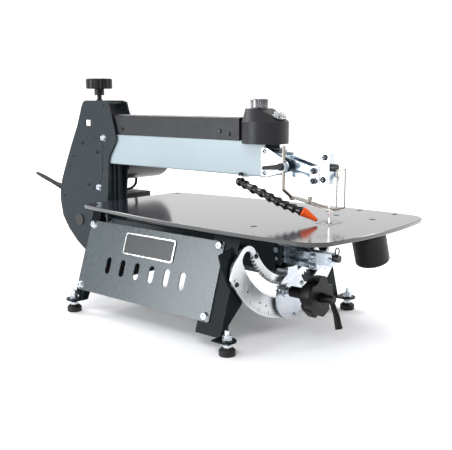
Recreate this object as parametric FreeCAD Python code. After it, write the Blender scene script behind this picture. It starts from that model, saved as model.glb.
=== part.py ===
import FreeCAD, Part
import math
import os

from FreeCAD import Vector as V

# Benchtop parallel-arm scroll saw with a tilting head. Millimetres, +Z up, +X to the operator's right,
# +Y away from the operator. Everything is drawn about the blade line (x = 0, y = 0) on a bench at z = 0,
# and save() shifts it so that the origin is on the bench under the middle of the saw.

# ---- driving dimensions ----
TABLE_TOP = 197.5
TABLE_T = 6.5
TABLE_HALF = 173.0
TABLE_REAR_HALF = 128.5
TABLE_FRONT = -108.3
TABLE_REAR = 480.0
PLATE_REAR = 688.0
MIDDLE_Y = (TABLE_FRONT + PLATE_REAR) / 2
AXIS_Z = TABLE_TOP

FOOT_X = 176.0
FOOT_FRONT_Y = 69.5
FOOT_REAR_Y = 455.6
FLANGE_Z = 22.0
SHEET = 3.0
STUD_R = 4.0
FIT = 0.05

SIDE_TOP_X = 125.0
SIDE_TOP_Z = 168.5
SIDE_TILT = math.degrees(math.atan(0.32))
PANEL_FRONT = 117.0
PANEL_REAR = 456.0
PANEL_HIGH = 134.0

CRESCENT_Y = 80.0
CRESCENT_T = 5.0
CRESCENT_OUT = 174.0
CRESCENT_IN = 100.0
SLOT_OUT = 139.0
CRESCENT_SPAN = 61.5
SLOT_SPAN = 64.0
GEAR_TEETH = 96
GEAR_ROOT = 111.5
PINION_TEETH = 9
PITCH_R = 114.0
PINION_TURN = 7.5

ARM_HALF = 22.0
ARM_LOW = 267.0
ARM_HIGH = 327.0
ARM_FRONT = 119.0
ARM_REAR = 546.0
PLATE_IN = 24.0
PLATE_T = 3.0

CAP_Y = 135.0
CAP_R = 41.0

LINK_PIVOT_Y = 96.0
LINK_END_Y = 24.7
UPPER_LINK_Z = 298.0
UPPER_END_Z = 282.7
PARALLEL_DROP = 16.6
LOWER_LINK_Z = 142.5
LOWER_END_Z = 139.5
UPPER_CRANK = 16.0
LOWER_CRANK = 22.0

MOTOR_Y = 566.0
MOTOR_Z = 276.0
MOTOR_R = 50.0
MOTOR_END = 156.0

CORD_R = 3.5
COIL_X = 125.0
COIL_Y = 650.0
COIL_R = 38.5


# ---- helpers ----
def box(x0, x1, y0, y1, z0, z1):
    return Part.makeBox(x1 - x0, y1 - y0, z1 - z0, V(x0, y0, z0))


def rod(start, end, radius):
    a, b = V(*start), V(*end)
    return Part.makeCylinder(radius, (b - a).Length, a, b - a)


def taper(start, end, r0, r1):
    a, b = V(*start), V(*end)
    return Part.makeCone(r0, r1, (b - a).Length, a, b - a)


def ring(start, end, outer, inner):
    return rod(start, end, outer).cut(rod(start, end, inner))


def plate_x(points, x0, x1):
    """Flat plate across X; points are (y, z)."""
    wire = Part.makePolygon([V(x0, y, z) for y, z in points + points[:1]])
    return Part.Face(wire).extrude(V(x1 - x0, 0, 0))


def plate_y(points, y0, y1):
    """Flat plate across Y; points are (x, z)."""
    wire = Part.makePolygon([V(x, y0, z) for x, z in points + points[:1]])
    return Part.Face(wire).extrude(V(0, y1 - y0, 0))


def plate_z(points, z0, z1):
    """Flat plate across Z; points are (x, y)."""
    wire = Part.makePolygon([V(x, y, z0) for x, y in points + points[:1]])
    return Part.Face(wire).extrude(V(0, 0, z1 - z0))


def hexagon(centre, across, height):
    r = across / math.sqrt(3)
    pts = [(centre[0] + r * math.cos(math.radians(60 * i)), centre[1] + r * math.sin(math.radians(60 * i)))
           for i in range(6)]
    return plate_z(pts, centre[2], centre[2] + height)


def slot_x(y, z, half, radius, x0, x1):
    """Obround along Z that runs through in X."""
    body = box(x0, x1, y - radius, y + radius, z - half, z + half)
    ends = [rod((x0, y, z + s * half), (x1, y, z + s * half), radius) for s in (-1, 1)]
    return body.multiFuse(ends)


def button_bolt(foot, outward, head_r, shank=3.0):
    """Button head with a hexagon socket; foot is on the clamped face."""
    n = V(*outward)
    n.normalize()
    a = V(*foot)
    head = Part.makeCone(head_r, head_r * 0.62, head_r * 0.62, a, n)
    socket = Part.makeCylinder(head_r * 0.36, head_r * 0.3, a + n * (head_r * 0.35), n)
    return head.cut(socket).fuse(Part.makeCylinder(head_r * 0.45, shank, a - n * shank, n))


def round_edges(shape, radius, test):
    edges = [e for e in shape.Edges if test(e)]
    return shape.makeFillet(radius, edges)


def along(direction):
    """Test for straight edges along a direction."""
    d = V(*direction)

    def test(edge):
        if edge.Curve.TypeId != "Part::GeomLine":
            return False
        return abs(edge.Curve.Direction.dot(d)) > 0.999
    return test


def group(solids):
    return Part.makeCompound(solids)


def mirror(shape):
    return shape.mirror(V(0, 0, 0), V(1, 0, 0))


def polar(radius, degrees):
    """Point of the front trunnion, from straight down, positive to the operator's right."""
    t = math.radians(degrees)
    return radius * math.sin(t), AXIS_Z - radius * math.cos(t)


def sector(r_in, r_out, from_deg, to_deg, y0, y1):
    """Part of a ring about the tilt axis."""
    def arc(r, a, b):
        pts = [polar(r, t) for t in (a, (a + b) / 2, b)]
        return Part.Arc(*[V(x, y0, z) for x, z in pts]).toShape()
    outer = arc(r_out, from_deg, to_deg)
    inner = arc(r_in, to_deg, from_deg)
    ends = [[polar(r, t) for r in (r_out, r_in)] for t in (to_deg, from_deg)]
    right = Part.makeLine(V(ends[0][0][0], y0, ends[0][0][1]), V(ends[0][1][0], y0, ends[0][1][1]))
    left = Part.makeLine(V(ends[1][1][0], y0, ends[1][1][1]), V(ends[1][0][0], y0, ends[1][0][1]))
    return Part.Face(Part.Wire([outer, right, inner, left])).extrude(V(0, y1 - y0, 0))


PARTS = {}


def save(name, shape):
    shape = shape.copy()
    shape.translate(V(0, -MIDDLE_Y, 0))
    if not shape.isValid():
        print("INVALID", name)
    if len(shape.Solids) == 0:
        print("NO SOLID", name)
    PARTS[name] = shape
    shape.exportStep(f"parts/{name}.step")


# ---- base: legs, side panels, trunnions ----
def side_place(shape):
    """Moves a piece drawn flat in the YZ plane (z down from 0) onto the left side panel's slope."""
    out = shape.copy()
    out.rotate(V(0, 0, 0), V(0, 1, 0), SIDE_TILT)
    out.translate(V(-SIDE_TOP_X, 0, SIDE_TOP_Z))
    return out


def side_x(z):
    return SIDE_TOP_X + math.tan(math.radians(SIDE_TILT)) * (SIDE_TOP_Z - z)


VENTS = 6
VENT_PITCH = 38.06
VENT_FIRST = 193.4


def side_panel():
    p = box(-2.0, 0.0, PANEL_FRONT, PANEL_REAR, -PANEL_HIGH, 0)
    p = round_edges(p, 4.0, along((1, 0, 0)))
    for i in range(VENTS):
        p = p.cut(slot_x(VENT_FIRST + i * VENT_PITCH, -78.2, 9.0, 6.6, -3, 1))
    for y, v in PANEL_BOLTS:
        p = p.cut(rod((-3, y, -v), (1, y, -v), 3.65))
    return side_place(p)


PANEL_BOLTS = [(125.5, 7.5), (447.0, 7.5), (127.0, 125.5), (449.0, 125.5)]


def panel_bolts():
    heads = [side_place(button_bolt((-2.0, y, -v), (-1, 0, 0), 8.0, 8.0)) for y, v in PANEL_BOLTS]
    return heads + [mirror(h) for h in heads]


def badge():
    outer = round_edges(box(-4.2, -2.0, 223.5, 350.5, -51.5, -11.5), 5.0, along((1, 0, 0)))
    inner = round_edges(box(-4.3, -3.2, 226.0, 348.0, -49.0, -14.0), 3.5, along((1, 0, 0)))
    return side_place(outer.cut(inner))


LEG_OUT = 178.0
LEG_WINDOW = 142.0
FRONT_WEB = 88.0
REAR_WEB = 437.0
LEG_TOP = 186.0
BRIDGE_LOW = 179.5
APRON_LOW = 48.0
APRON_WINDOW = 112.0


def leg(web, flange_end, foot_y):
    """One left leg: web across the saw, side flange for the panel, tongue for the levelling foot."""
    x_top = side_x(LEG_TOP)
    x_low = side_x(FLANGE_Z)
    outline = [(-x_top, LEG_TOP), (-98, LEG_TOP), (-98, 140), (-118, 68), (-150, 40), (-158, FLANGE_Z)]
    body = plate_y(outline + [(-x_low, FLANGE_Z)], web, web + SHEET)
    skin = [(-x_top, LEG_TOP), (-x_low, FLANGE_Z), (-x_low + SHEET, FLANGE_Z), (-x_top + SHEET, LEG_TOP)]
    side = plate_y(skin, web, flange_end)
    near, far = sorted((foot_y, web + SHEET / 2))
    tongue = box(-FOOT_X - 15, -FOOT_X + 15, near, far, FLANGE_Z, FLANGE_Z + SHEET)
    pad = rod((-FOOT_X, foot_y, FLANGE_Z), (-FOOT_X, foot_y, FLANGE_Z + SHEET), 15.0)
    body = body.multiFuse([side, tongue, pad])
    body = body.cut(rod((-FOOT_X, foot_y, 0), (-FOOT_X, foot_y, 60), STUD_R + FIT))
    body = body.cut(rod((-FOOT_X, foot_y, FLANGE_Z + SHEET), (-FOOT_X, foot_y, FLANGE_Z + 16), 9.5))
    for y, v in PANEL_BOLTS:
        body = body.cut(side_place(rod((-9, y, -v), (9, y, -v), 3.75)))
    return body


def leg_panel(left, web, shelf_end, screws):
    """Both legs joined by a bridge with a shelf that the table is screwed to."""
    bridge = box(-122, 122, web, web + SHEET, BRIDGE_LOW, LEG_TOP)
    y0, y1 = sorted((shelf_end, web + SHEET / 2))
    shelf = box(-118, 118, y0, y1, LEG_TOP, TABLE_TOP - TABLE_T)
    body = left.multiFuse([mirror(left), bridge, shelf])
    for x, y in screws:
        body = body.cut(rod((x, y, 180), (x, y, 200), 2.95))
    return body.removeSplitter()


def front_leg_panel():
    left = leg(FRONT_WEB, 143.0, FOOT_FRONT_Y)
    lobe = sector(LEG_WINDOW, LEG_OUT, -77, -44, FRONT_WEB, FRONT_WEB + SHEET)
    window = sector(CRESCENT_IN - 2, LEG_WINDOW, -71, 71, FRONT_WEB - 1, FRONT_WEB + SHEET + 1)
    return leg_panel(left.fuse(lobe).cut(window), FRONT_WEB, 62.0, FRAME_SCREWS[:2])


def rear_leg_panel():
    """Rear legs with a deep apron between them, open round the tilt axis for the lower arm."""
    left = leg(REAR_WEB, 460.0, FOOT_REAR_Y)
    corners = [(-side_x(LEG_TOP), LEG_TOP), (-side_x(APRON_LOW), APRON_LOW), (0, APRON_LOW), (0, LEG_TOP)]
    apron = plate_y(corners, REAR_WEB, REAR_WEB + SHEET)
    window = rod((0, REAR_WEB - 1, AXIS_Z), (0, REAR_WEB + SHEET + 1, AXIS_Z), APRON_WINDOW)
    return leg_panel(left.fuse(apron).cut(window), REAR_WEB, 472.0, FRAME_SCREWS[2:])


def gear_ring(teeth, root, tip, y0, y1):
    """Trapezoid teeth that point away from the tilt axis, along the slot's inner edge."""
    pitch = 360.0 / teeth
    count = int(2 * 60 / pitch)
    out = []
    for i in range(count + 1):
        mid = -60 + i * pitch
        pts = [polar(root - 1, mid - pitch * 0.27), polar(tip, mid - pitch * 0.14),
               polar(tip, mid + pitch * 0.14), polar(root - 1, mid + pitch * 0.27)]
        out.append(plate_y(pts, y0, y1))
    return out


def front_trunnion():
    y0 = CRESCENT_Y
    y1 = CRESCENT_Y + CRESCENT_T
    slot_mid = (GEAR_ROOT + SLOT_OUT) / 2
    body = sector(CRESCENT_IN, CRESCENT_OUT, -CRESCENT_SPAN, CRESCENT_SPAN, y0, y1)
    x, z = polar(slot_mid, -SLOT_SPAN)
    outline = [polar(CRESCENT_OUT, -CRESCENT_SPAN), *EAR_CORNERS, (x, z), polar(slot_mid, -CRESCENT_SPAN)]
    ear = plate_y(outline, y0, y1)
    ear = ear.fuse(rod((x, y0, z), (x, y1, z), EAR_R))
    body = body.multiFuse([ear, mirror(ear)])
    slot = sector(GEAR_ROOT, SLOT_OUT, -SLOT_SPAN, SLOT_SPAN, y0 - 1, y1 + 1)
    for s in (-1, 1):
        slot = slot.fuse(rod((s * x, y0 - 1, z), (s * x, y1 + 1, z), (SLOT_OUT - GEAR_ROOT) / 2))
    body = body.cut(slot)
    body = body.multiFuse(gear_ring(GEAR_TEETH, GEAR_ROOT, GEAR_ROOT + 4.6, y0, y1))
    for r, t, hole in TRUNNION_HOLES:
        x, z = polar(r, t)
        body = body.cut(rod((x, y0 - 1, z), (x, y1 + 1, z), hole))
    spacers = []
    for r, t in TRUNNION_SCREWS:
        x, z = polar(r, t)
        body = body.cut(rod((x, y0 - 1, z), (x, y1 + 1, z), 2.15))
        spacers.append(ring((x, y1, z), (x, FRONT_WEB, z), 5.5, 2.6))
    return body.multiFuse(spacers).removeSplitter()


TRUNNION_SCREWS = [(105.8, -60), (168, -57), (105.8, 60), (168, 57)]
EAR_CORNERS = [(-151.5, 133.5), (-146, 142), (-131, 156.5)]
EAR_R = 22.5
TRUNNION_HOLES = [(156, -46, 2.2), (156, -31, 2.2), (156, -24, 2.2), (169, -60, 1.6), (156, 31, 2.2),
                  (156, 46, 2.2)]


def trunnion_screws():
    """Black socket screws of the front trunnion."""
    out = []
    for r, t in TRUNNION_SCREWS:
        x, z = polar(r, t)
        out.append(button_bolt((x, CRESCENT_Y, z), (0, -1, 0), 4.6, 3.0))
    return out


REAR_TRUNNION_Y = 431.0


def rear_trunnion():
    """Ring segment on the rear leg that a hub on the head turns in."""
    y0 = REAR_TRUNNION_Y
    y1 = y0 + 6
    body = sector(104, 122, -73, 73, y0, y1)
    return body


# ---- table ----
INSERT_R = 29.0


def table():
    def side_x_at(y):
        return TABLE_HALF - 2.3e-4 * (y - 40) ** 2
    y_corner = -90.0
    y_mid = 195.0
    right = Part.Arc(V(side_x_at(y_corner), y_corner, 0), V(side_x_at(y_mid), y_mid, 0),
                     V(TABLE_REAR_HALF, TABLE_REAR, 0)).toShape()
    left = Part.Arc(V(-TABLE_REAR_HALF, TABLE_REAR, 0), V(-side_x_at(y_mid), y_mid, 0),
                    V(-side_x_at(y_corner), y_corner, 0)).toShape()
    rear = Part.makeLine(V(TABLE_REAR_HALF, TABLE_REAR, 0), V(-TABLE_REAR_HALF, TABLE_REAR, 0))
    front = Part.Arc(V(-side_x_at(y_corner), y_corner, 0), V(0, TABLE_FRONT, 0),
                     V(side_x_at(y_corner), y_corner, 0)).toShape()
    slab = Part.Face(Part.Wire([right, rear, left, front])).extrude(V(0, 0, TABLE_T))
    slab = round_edges(slab, 44.0, lambda e: along((0, 0, 1))(e) and e.CenterOfMass.y < 0)
    slab = round_edges(slab, 12.0, lambda e: along((0, 0, 1))(e) and e.CenterOfMass.y > 470)
    slab = slab.makeChamfer(0.8, [e for e in slab.Edges if e.BoundBox.ZLength < 0.01])
    slab.translate(V(0, 0, TABLE_TOP - TABLE_T))
    z0 = TABLE_TOP - TABLE_T - 1
    slab = slab.cut(rod((0, 0, z0), (0, 0, TABLE_TOP + 1), INSERT_R - 3.5))
    slab = slab.cut(rod((0, 0, TABLE_TOP - 3), (0, 0, TABLE_TOP + 1), INSERT_R))
    for x, y in TABLE_SCREWS:
        slab = slab.cut(rod((x, y, z0), (x, y, TABLE_TOP + 1), 3.0))
        slab = slab.cut(rod((x, y, TABLE_TOP - 3.6), (x, y, TABLE_TOP + 1), 6.0))
    return slab


PORT_X = 116.5
PORT_SCREWS = [(PORT_X + sx * 38.5, sy * 36.0) for sx in (-1, 1) for sy in (-1, 1)]
FRAME_SCREWS = [(-108, 72), (108, 72), (-110, 460), (110, 460)]
TABLE_SCREWS = PORT_SCREWS + FRAME_SCREWS


def table_screws():
    out = []
    for x, y in TABLE_SCREWS:
        head = rod((x, y, TABLE_TOP - 3.55), (x, y, TABLE_TOP - 0.4), 5.9)
        socket = rod((x, y, TABLE_TOP - 2.4), (x, y, TABLE_TOP + 1), 2.3)
        shank = rod((x, y, TABLE_TOP - TABLE_T), (x, y, TABLE_TOP - 3.55), 2.9)
        out.append(head.cut(socket).fuse(shank))
    return out


def table_insert():
    disc = rod((0, 0, TABLE_TOP - 3), (0, 0, TABLE_TOP - 0.1), INSERT_R - 0.2)
    cuts = [rod((0, 0, TABLE_TOP - 4), (0, 0, TABLE_TOP + 1), 6.0)]
    for row in (-1, 1):
        for i in range(7):
            s = box(-0.9, 0.9, -4.2, 4.2, TABLE_TOP - 4, TABLE_TOP + 1)
            s.rotate(V(0, 0, 0), V(0, 0, 1), -32)
            s.translate(V((i - 3) * 5.6, row * 13.5, 0))
            cuts.append(s)
    for x in (-19, 19):
        for y in (-4, 4):
            cuts.append(rod((x, y, TABLE_TOP - 4), (x, y, TABLE_TOP + 1), 1.7))
    return disc.cut(cuts[0].multiFuse(cuts[1:]))


PORT_LEAN = 20.0
PORT_LEN = 84.0
PORT_R = 31.0
PORT_BORE = 28.5


def dust_port():
    z = TABLE_TOP - TABLE_T
    flange = round_edges(box(PORT_X - 47, PORT_X + 47, -44, 44, z - 4, z), 8.0, along((0, 0, 1)))
    lean = math.radians(PORT_LEAN)
    d = V(math.sin(lean), 0, -math.cos(lean))
    top = V(PORT_X, 0, z) - d * 14
    collar = Part.makeCylinder(PORT_R - 2, 30, top, d)
    neck = Part.makeCylinder(PORT_R - 0.5, 17, top + d * 26, d)
    tube = Part.makeCylinder(PORT_R, PORT_LEN - 28, top + d * 42, d)
    body = collar.multiFuse([neck, tube, flange])
    body = body.cut(Part.makeCylinder(PORT_BORE - 2, 200, top - d * 10, d))
    body = body.cut(Part.makeCylinder(PORT_BORE, PORT_LEN + 2, top + d * 26, d))
    body = body.cut(box(0, 260, -60, 60, z, z + 60))
    body = body.cut(box(60, PORT_X, -15, 15, 150, 181))
    for x, y in PORT_SCREWS:
        body = body.cut(rod((x, y, z - 5), (x, y, z + 1), 2.95))
    return body.removeSplitter()


# ---- levelling feet ----
def feet_places():
    out = {}
    for side, x in (("left", -FOOT_X), ("right", FOOT_X)):
        for end, y in (("front", FOOT_FRONT_Y), ("rear", FOOT_REAR_Y)):
            out[f"{end}_{side}"] = (x, y)
    return out


def levelling_foot(x, y):
    pad = rod((x, y, 0), (x, y, 9), 13.5).fuse(taper((x, y, 9), (x, y, 13), 13.5, 9.0))
    pad = round_edges(pad, 1.2, lambda e: e.BoundBox.ZLength < 0.01 and e.BoundBox.ZMin < 0.5)
    boss = hexagon((x, y, 13), 13.0, 4.5)
    stud = rod((x, y, 17.5), (x, y, 41), STUD_R)
    return pad.multiFuse([boss, stud])


def foot_nuts():
    out = []
    for x, y in feet_places().values():
        z = FLANGE_Z + SHEET
        nut = hexagon((x, y, z + 1.6), 13.0, 6.5).fuse(rod((x, y, z), (x, y, z + 1.6), 8.5))
        out.append(nut.cut(rod((x, y, z - 1), (x, y, z + 12), STUD_R + FIT)))
    return out


# ---- head: column, arms, covers ----
LOWER_ARM_HALF = 19.0
SADDLE_IN = 90.0
SADDLE_OUT = 124.0
LOWER_ARM_LOW = 103.0
LOWER_ARM_HIGH = 153.0
LOWER_ARM_FRONT = 97.0
LOWER_ARM_REAR = 640.0

PLATE_FRONT_TOP = [(534, 395), (521, 392), (516, 376), (507, 356), (499, 330), (496.5, 316)]
PLATE_FRONT_LOW = [(504, 304), (513, 291), (520, 281), (523, 268), (524.5, 233), (529, 191), (531, 96)]
PLATE_BOTTOM = [(545, 76), (607, 76), (634, 93), (661, 117), (681, 144), (688, 177)]
PLATE_BACK = [(687.5, 199), (680, 226), (663, 262), (644, 300), (621, 343), (605, 383), (600, 391), (592, 395)]
COVER = [(614, 317), (549, 317), (540.5, 308), (543, 242), (556, 220), (580, 211.5), (614, 211.5), (629, 240),
         (629, 290)]
COVER_SEAM = [(609, 318.6), (548, 318.6), (538.6, 308.7), (541.4, 241.3), (555, 218.8), (579.6, 210)]
COLUMN_BOLTS = [(536, 319), (554, 216)]
RIGHT_BOLTS = [(523, 334), (554, 208)]
COVER_SCREWS = [(559, 289.5), (606, 306), (589, 219)]
PLATE_SCREWS = [(638.5, 277.5), (652, 256), (675, 189), (534, 386)]
PLUG = (621, 141)
WINDOW_Y = 585.5
WINDOW_Z = 349.0
SEAM_HALF = 0.9
LIP_T = 1.0


def column_plate(x0, bolts):
    body = plate_x(PLATE_FRONT_TOP + PLATE_FRONT_LOW + PLATE_BOTTOM + PLATE_BACK, x0, x0 + PLATE_T)
    corners = [(496.5, 316), (504, 304), (513, 291), (545, 76), (607, 76), (531, 96), (688, 177), (592, 395)]

    def corner(e):
        c = e.CenterOfMass
        return along((1, 0, 0))(e) and any(abs(c.y - y) < 0.1 and abs(c.z - z) < 0.1 for y, z in corners)
    body = round_edges(body, 5.0, corner)
    for y, z in bolts:
        body = body.cut(rod((x0 - 1, y, z), (x0 + 9, y, z), 3.6))
    return body


def grow(points, by):
    """Outline moved outwards from its middle by a small gap."""
    cy = sum(p[0] for p in points) / len(points)
    cz = sum(p[1] for p in points) / len(points)
    out = []
    for y, z in points:
        d = math.hypot(y - cy, z - cz)
        out.append((cy + (y - cy) * (d + by) / d, cz + (z - cz) * (d + by) / d))
    return out


def left_side_plate():
    """Left plate with the access opening, a wider seam along its front and a small square window."""
    x0 = -PLATE_IN - PLATE_T
    body = column_plate(x0, COLUMN_BOLTS)
    body = body.cut(plate_x(grow(COVER, 0.3), x0 - 1, x0 + PLATE_T + 1))
    for (ya, za), (yb, zb) in zip(COVER_SEAM, COVER_SEAM[1:]):
        length = math.hypot(yb - ya, zb - za)
        across = ((zb - za) / length * SEAM_HALF, (ya - yb) / length * SEAM_HALF)
        run = [(ya + across[0], za + across[1]), (yb + across[0], zb + across[1]),
               (yb - across[0], zb - across[1]), (ya - across[0], za - across[1])]
        body = body.cut(plate_x(run, x0 - 1, x0 + 1.2))
        body = body.cut(rod((x0 - 1, yb, zb), (x0 + 1.2, yb, zb), SEAM_HALF))
    body = body.cut(box(x0 - 1, x0 + 9, WINDOW_Y - 8.5, WINDOW_Y + 8.5, WINDOW_Z - 6, WINDOW_Z + 6))
    for y, z in PLATE_SCREWS:
        body = body.cut(rod((x0 - 1, y, z), (x0 + 9, y, z), 1.5))
    return body.cut(rod((x0 - 1, *PLUG), (x0 + 9, *PLUG), 9.6))


def right_side_plate():
    body = column_plate(PLATE_IN, RIGHT_BOLTS)
    return body.cut(rod((PLATE_IN - 1, MOTOR_Y, MOTOR_Z), (PLATE_IN + 9, MOTOR_Y, MOTOR_Z), 12.0))


def access_cover():
    """Cover set flush in the left plate over the drive, with a lip behind the opening."""
    x0 = -PLATE_IN - PLATE_T
    face = plate_x(COVER, x0, -PLATE_IN)
    lip = plate_x(grow(COVER, 3.0), -PLATE_IN, -PLATE_IN + LIP_T)
    body = face.fuse(lip)
    for y, z in COVER_SCREWS:
        body = body.cut(rod((x0 - 1, y, z), (x0 + 9, y, z), 2.6))
    return body


def column_spacers():
    """Folded channel, top bridge and rear web that hold the two plates apart."""
    w = PLATE_IN
    channel = box(-w, w, 533, 536, LOWER_ARM_HIGH + 2, ARM_LOW - 2)
    for s in (-1, 1):
        x0, x1 = sorted((s * w, s * (w - 3)))
        channel = channel.fuse(box(x0, x1, 533, 538, LOWER_ARM_HIGH + 2, ARM_LOW - 2))
        rib0, rib1 = sorted((s * 4, s * 7))
        channel = channel.fuse(box(rib0, rib1, 529, 533, LOWER_ARM_HIGH + 2, ARM_LOW - 2))
    top = box(-w, w, 530, 596, 388, 392).cut(rod((0, 578, 380), (0, 578, 400), 4.6))
    for s in (-1, 1):
        x0, x1 = sorted((s * w, s * (w - 3)))
        top = top.fuse(box(x0, x1, 530, 596, 376, 392))
    rear = box(-w, w, 668, 671, 128, 222).cut(rod((0, 660, GLAND_Z), (0, 680, GLAND_Z), 6.5))
    foot = box(-w, w, 640, 671, 128, 131)
    return group([channel, top, rear.fuse(foot)] + rocker_bearings())


def column_bolts():
    out = [button_bolt((-PLATE_IN - PLATE_T, y, z), (-1, 0, 0), 7.6, PLATE_T) for y, z in COLUMN_BOLTS]
    out += [button_bolt((PLATE_IN + PLATE_T, y, z), (1, 0, 0), 7.6, PLATE_T) for y, z in RIGHT_BOLTS]
    return group(out)


def column_screws():
    """Black socket screws of the cover and plates, with the round blanking plug low on the left plate."""
    x = -PLATE_IN - PLATE_T
    out = [button_bolt((x, y, z), (-1, 0, 0), 4.4, PLATE_T) for y, z in COVER_SCREWS]
    out += [button_bolt((x, y, z), (-1, 0, 0), 3.0, PLATE_T) for y, z in PLATE_SCREWS]
    plug = rod((x - 2.2, *PLUG), (x, *PLUG), 12.5).fuse(rod((x, *PLUG), (x + PLATE_T, *PLUG), 9.5))
    return group(out + arm_screws() + [plug])


def upper_arm():
    outer = box(-ARM_HALF, ARM_HALF, ARM_FRONT, ARM_REAR, ARM_LOW, ARM_HIGH)
    outer = round_edges(outer, 2.5, along((0, 1, 0)))
    inner = box(-ARM_HALF + 2.5, ARM_HALF - 2.5, ARM_FRONT - 1, ARM_REAR + 4, ARM_LOW + 2.5, ARM_HIGH - 2.5)
    body = outer.cut(inner)
    for s in (-1, 1):
        x0, x1 = sorted((s * 13.5, s * 17.0))
        lug = box(x0, x1, 86, 150, 272, 309)
        web = box(*sorted((s * 13.5, s * 20)), 124, 150, 272, 309)
        body = body.multiFuse([lug, web])
    return body.cut(pivot_holes(UPPER_LINK_Z)).removeSplitter()


def pivot_holes(z):
    main = rod((-25, LINK_PIVOT_Y, z), (25, LINK_PIVOT_Y, z), 5.0 + FIT)
    lower = rod((-25, LINK_PIVOT_Y, z - PARALLEL_DROP), (25, LINK_PIVOT_Y, z - PARALLEL_DROP), 3.0 + FIT)
    return main.fuse(lower)


def lower_arm():
    h = LOWER_ARM_HALF
    outer = box(-h, h, LOWER_ARM_FRONT, LOWER_ARM_REAR, LOWER_ARM_LOW, LOWER_ARM_HIGH)
    outer = round_edges(outer, 3.0, along((0, 1, 0)))
    inner = box(-h + 2.5, h - 2.5, LOWER_ARM_FRONT - 1, LOWER_ARM_REAR + 1, LOWER_ARM_LOW + 2.5,
                LOWER_ARM_HIGH - 2.5)
    body = outer.cut(inner)
    for s in (-1, 1):
        x0, x1 = sorted((s * 13.5, s * 16.6))
        body = body.fuse(box(x0, x1, 86, 140, 116, 150.6))
    body = body.cut(pivot_holes(LOWER_LINK_Z))
    body = body.cut(box(-13.4, 13.4, LOWER_ARM_FRONT - 2, 114, 149, LOWER_ARM_HIGH + 1))
    slot = box(-12, 12, 560, 650, 140, LOWER_ARM_HIGH + 1)
    saddle = sector(SADDLE_IN, SADDLE_OUT, -20, 20, REAR_TRUNNION_Y - 6, REAR_TRUNNION_Y - 0.6)
    spacers = []
    for s in (-1, 1):
        spacers.append(box(*sorted((s * h, s * PLATE_IN)), 545, 625, 110, 146))
    return body.cut(slot).multiFuse([saddle] + spacers).removeSplitter()


def arm_cover():
    """Shell along the top of the arm, from the head cap back between the column plates."""
    body = box(-COVER_HALF, COVER_HALF, 177, COVER_REAR, ARM_HIGH, COVER_TOP)
    body = round_edges(body, 4.0, lambda e: along((0, 1, 0))(e) and e.CenterOfMass.z > COVER_TOP - 6)
    body = body.cut(box(3 - COVER_HALF, COVER_HALF - 3, 180, COVER_REAR - 3, ARM_HIGH - 1, COVER_TOP - 3))
    for y, z in ARM_SCREWS:
        body = body.cut(rod((-COVER_HALF - 1, y, z), (4 - COVER_HALF, y, z), 2.0))
    return body


def arm_screws():
    """Black socket screws in the left side of the arm cover."""
    return [button_bolt((-COVER_HALF, y, z), (-1, 0, 0), 4.0, 3.0) for y, z in ARM_SCREWS]


COVER_HALF = 21.0
COVER_TOP = 367.0
COVER_REAR = 524.0
ARM_SCREWS = [(483, 338.5), (221, 342.5), (200, 338)]
SWITCH_Y = 106.0
SWITCH_Z = 369.5
CAP_SLOPE = 23.8
SWITCH_PIN_Z = -1.3


def cap_blank(gap):
    r = CAP_R - gap
    wall = rod((0, CAP_Y, 323 - gap * 2), (0, CAP_Y, 361 - gap), r)
    low = Part.Wire(Part.makeCircle(r - 0.5, V(0, CAP_Y, 361 - gap)))
    high = Part.Wire(Part.makeCircle(25 - gap, V(0, CAP_Y + 13, 383 - gap)))
    dome = Part.makeLoft([low, high], True)
    body = wall.fuse(dome)
    slab = box(-60, 60, -70, 20, 0, 60)
    slab.rotate(V(0, 0, 0), V(1, 0, 0), CAP_SLOPE)
    slab.translate(V(0, 122 + gap * 0.3, 377 - gap))
    return body.cut(slab)


def head_cap():
    body = cap_blank(0)
    body = body.cut(cap_blank(2.6))
    body = body.cut(box(-ARM_HALF - 0.2, ARM_HALF + 0.2, ARM_FRONT - 0.2, 200, 300, ARM_HIGH + 0.1))
    window = box(-10.6, 10.6, -7.6, 7.6, -12, 12)
    window.rotate(V(0, 0, 0), V(1, 0, 0), CAP_SLOPE)
    window.translate(V(0, SWITCH_Y, SWITCH_Z))
    body = body.cut(window)
    return body.cut(rod((0, CAP_Y + 14, 370), (0, CAP_Y + 14, 390), 4.1))


def power_switch():
    body = plate_x([(-6.0, -8), (6.0, -8), (7.1, -1), (7.1, 4.5), (0, 1.8), (-7.1, 4.0), (-7.1, -1)], -10.2, 10.2)
    body = body.cut(rod((-12, 0, SWITCH_PIN_Z), (12, 0, SWITCH_PIN_Z), 1.2))
    body.rotate(V(0, 0, 0), V(1, 0, 0), CAP_SLOPE)
    body.translate(V(0, SWITCH_Y, SWITCH_Z))
    return body


# ---- motor and wiring ----
def motor_housing():
    x0 = PLATE_IN + PLATE_T
    body = rod((x0, MOTOR_Y, MOTOR_Z), (MOTOR_END - 16, MOTOR_Y, MOTOR_Z), MOTOR_R)
    return body.cut(rod((x0 - 1, MOTOR_Y, MOTOR_Z), (x0 + 12, MOTOR_Y, MOTOR_Z), 14.0))


def motor_end_cap():
    x0 = MOTOR_END - 16
    body = rod((x0, MOTOR_Y, MOTOR_Z), (MOTOR_END, MOTOR_Y, MOTOR_Z), MOTOR_R)
    body = round_edges(body, 13.0, lambda e: e.BoundBox.XMin > MOTOR_END - 1)
    for i in range(12):
        s = box(x0 + 4, MOTOR_END + 1, -1.6, 1.6, 14, 38)
        s.rotate(V(0, 0, 0), V(1, 0, 0), 30 * i)
        s.translate(V(0, MOTOR_Y, MOTOR_Z))
        body = body.cut(s)
    return body


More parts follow.
